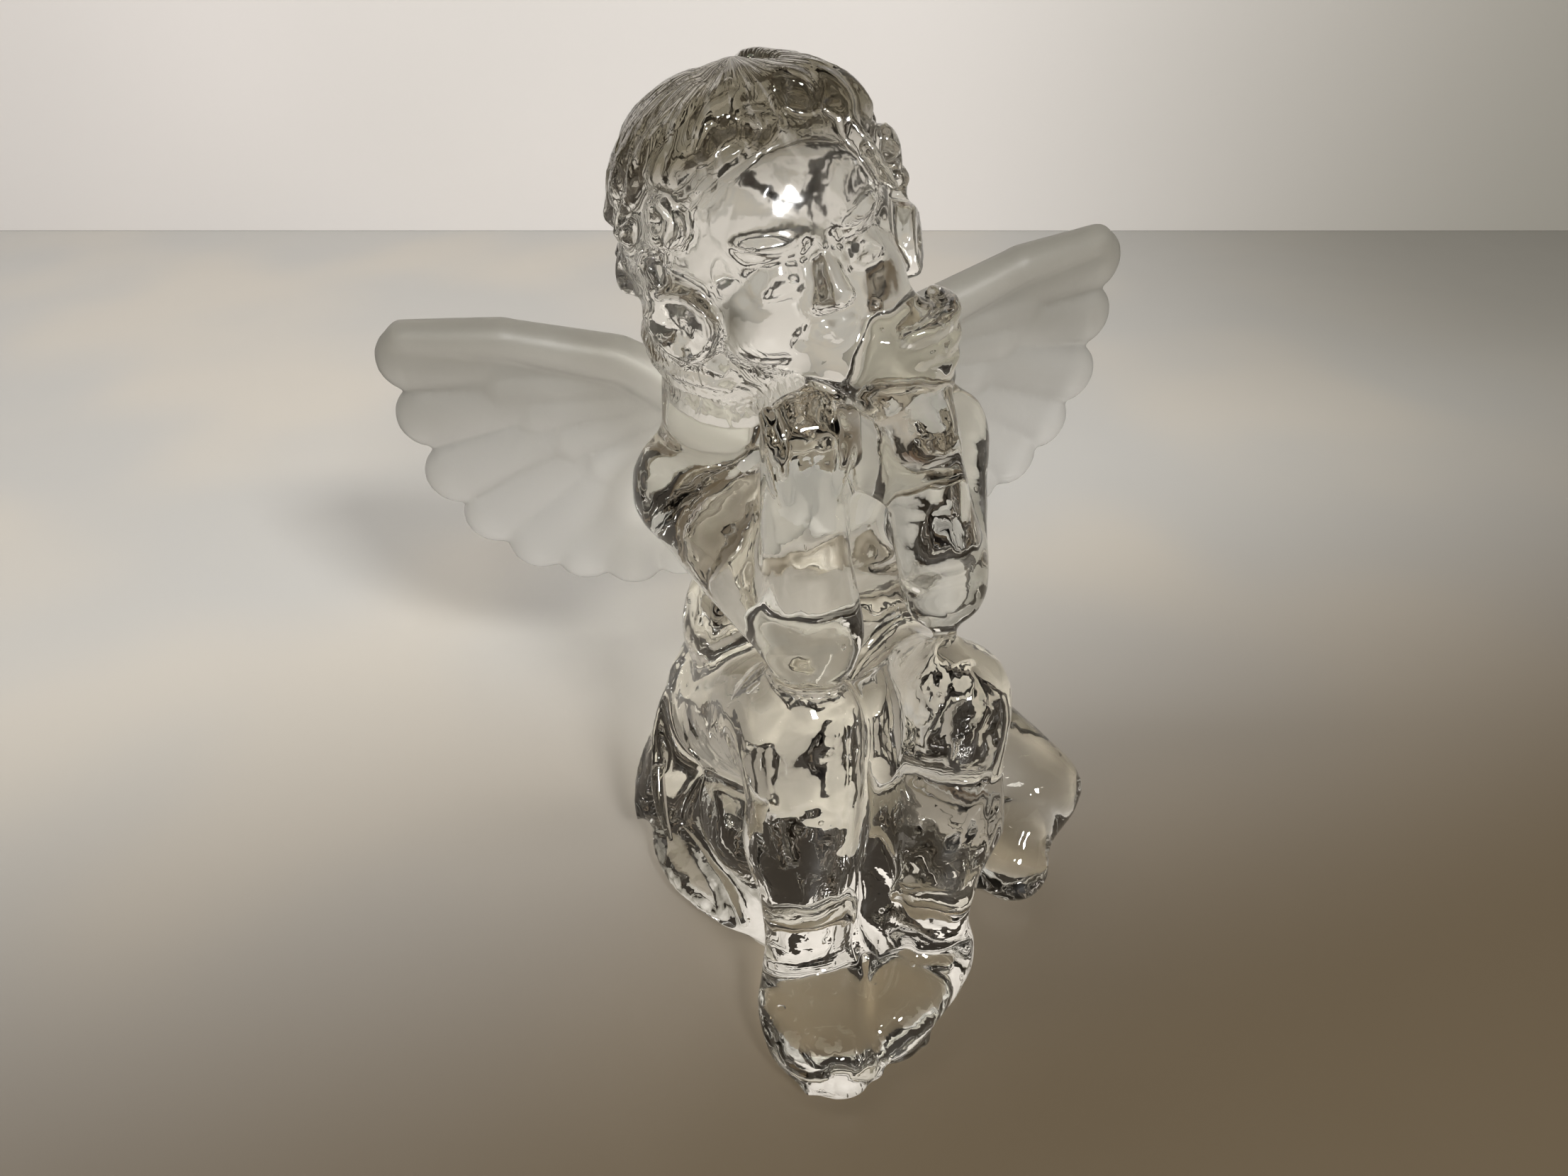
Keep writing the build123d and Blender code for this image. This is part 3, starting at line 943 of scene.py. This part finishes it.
def wall_board():
    """The same board standing upright, paler and a little pink, with painted shade that darkens it towards
    the right.
    """
    board = Shader("wall_board")
    patches = board.noise(140.0, 1.0)
    # Painted shade: the wall turns darker towards the right.
    right = board.ramp(board.along(ASIDE), 0.0, 340.0)
    pale = board.blend(patches, (0.62, 0.60, 0.575, 1), (0.70, 0.67, 0.65, 1))
    surface = board.add(
        "ShaderNodeBsdfPrincipled",
        {},
        {
            "Base Color": board.blend(right, pale, (0.36, 0.345, 0.305, 1)),
            "Roughness": board.noise(30.0) * 0.10 + 0.40,
        },
    )
    return board.finish(surface)


# ---------------------------------------------------------------- stage, lights and camera
BOARD_WIDTH, FLOOR_DEPTH, WALL_HEIGHT = 1500.0, 700.0, 420.0


def flat_board(name, material, depth, turn, place):
    """A board of the stage, BOARD_WIDTH wide, turned and placed by its middle."""
    bpy.ops.mesh.primitive_plane_add(size=1, location=place * MM, rotation=turn)
    board = bpy.context.object
    board.scale = (BOARD_WIDTH * MM, depth * MM, 1)
    nothing_selected()
    board.select_set(True)
    bpy.ops.object.transform_apply(location=True, rotation=True, scale=True)
    board.name = board.data.name = name
    board.data.materials.append(material)


def make_stage():
    """A floor just under the figure, and a wall standing on it behind."""
    floor_middle = AHEAD * (WALL_AWAY - FLOOR_DEPTH / 2) - UP * 0.1
    wall_middle = AHEAD * WALL_AWAY + UP * WALL_HEIGHT / 2
    flat_board("floor", floor_board(), FLOOR_DEPTH, (0, 0, VIEW_TURN), floor_middle)
    flat_board("wall", wall_board(), WALL_HEIGHT, (math.radians(90), 0, VIEW_TURN), wall_middle)


def area_light(name, place, aim, size, power, colour, seen_in_glass):
    """A rectangular lamp that looks at a point.  Only some lamps can be seen in the glass."""
    data = bpy.data.lights.new(name, "AREA")
    data.shape = "RECTANGLE"
    data.size, data.size_y = size[0] * MM, size[1] * MM
    data.energy = power
    data.color = colour
    lamp = bpy.data.objects.new(name, data)
    lamp.location = place * MM
    lamp.rotation_euler = (place - aim).to_track_quat("Z", "Y").to_euler()
    lamp.visible_glossy = lamp.visible_transmission = seen_in_glass
    bpy.context.collection.objects.link(lamp)


def make_lights():
    """A soft ceiling, a wash of light down the wall, two lamps behind the viewer, and a dim brown room."""
    middle = Vector((0, 0, 60))
    overhead = AHEAD * 240 - ASIDE * 330 + UP * 600
    area_light("ceiling", overhead, middle, (620, 420), 1.1, (1.0, 0.985, 0.955), False)
    washed = AHEAD * WALL_AWAY - ASIDE * 260 + UP * 120
    above = washed - AHEAD * 300 + UP * 460
    area_light("wall_wash", above, washed, (620, 120), 2.4, (1.0, 0.975, 0.96), False)
    lamp_colour = (1.0, 0.985, 0.96)
    area_light("lamp", middle + Vector((95, -480, 360)), middle, (100, 60), 5.4, lamp_colour, True)
    area_light("side_lamp", middle + Vector((-90, -430, 450)), middle, (36, 36), 0.5, lamp_colour, True)
    world = bpy.data.worlds.new("dim_room")
    world.use_nodes = True
    world.node_tree.nodes["Background"].inputs["Color"].default_value = (0.040, 0.034, 0.028, 1)
    world.node_tree.nodes["Background"].inputs["Strength"].default_value = 1.0
    bpy.context.scene.world = world


def make_camera():
    """A short lens from the front, a little to the figure's right, looking down."""
    data = bpy.data.cameras.new("camera")
    data.sensor_width = 36
    data.lens = 27.03
    data.clip_start = 10 * MM
    data.clip_end = 20000 * MM
    camera = bpy.data.objects.new("camera", data)
    camera.location = CAMERA_PLACE * MM
    camera.rotation_euler = (math.radians(90) - VIEW_TILT, 0, VIEW_TURN)
    bpy.context.collection.objects.link(camera)
    bpy.context.scene.camera = camera


# ---------------------------------------------------------------- the scene
make_camera()
make_lights()
make_stage()

figure = make_figure()
figure.data.materials.clear()
figure.data.materials.append(clear_glass())
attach(figure, "root")
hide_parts(*[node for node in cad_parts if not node.endswith("_wing")])

frosted = frosted_glass()
for node, side in (("right_wing", -1), ("left_wing", 1)):
    wing = make_wing(node, side)
    wing.data.materials.clear()
    wing.data.materials.append(frosted)
    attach(wing, "root")
    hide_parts(node)

scene = bpy.context.scene
scene.view_settings.view_transform = "Standard"
scene.cycles.max_bounces = 18
scene.cycles.transmission_bounces = 18
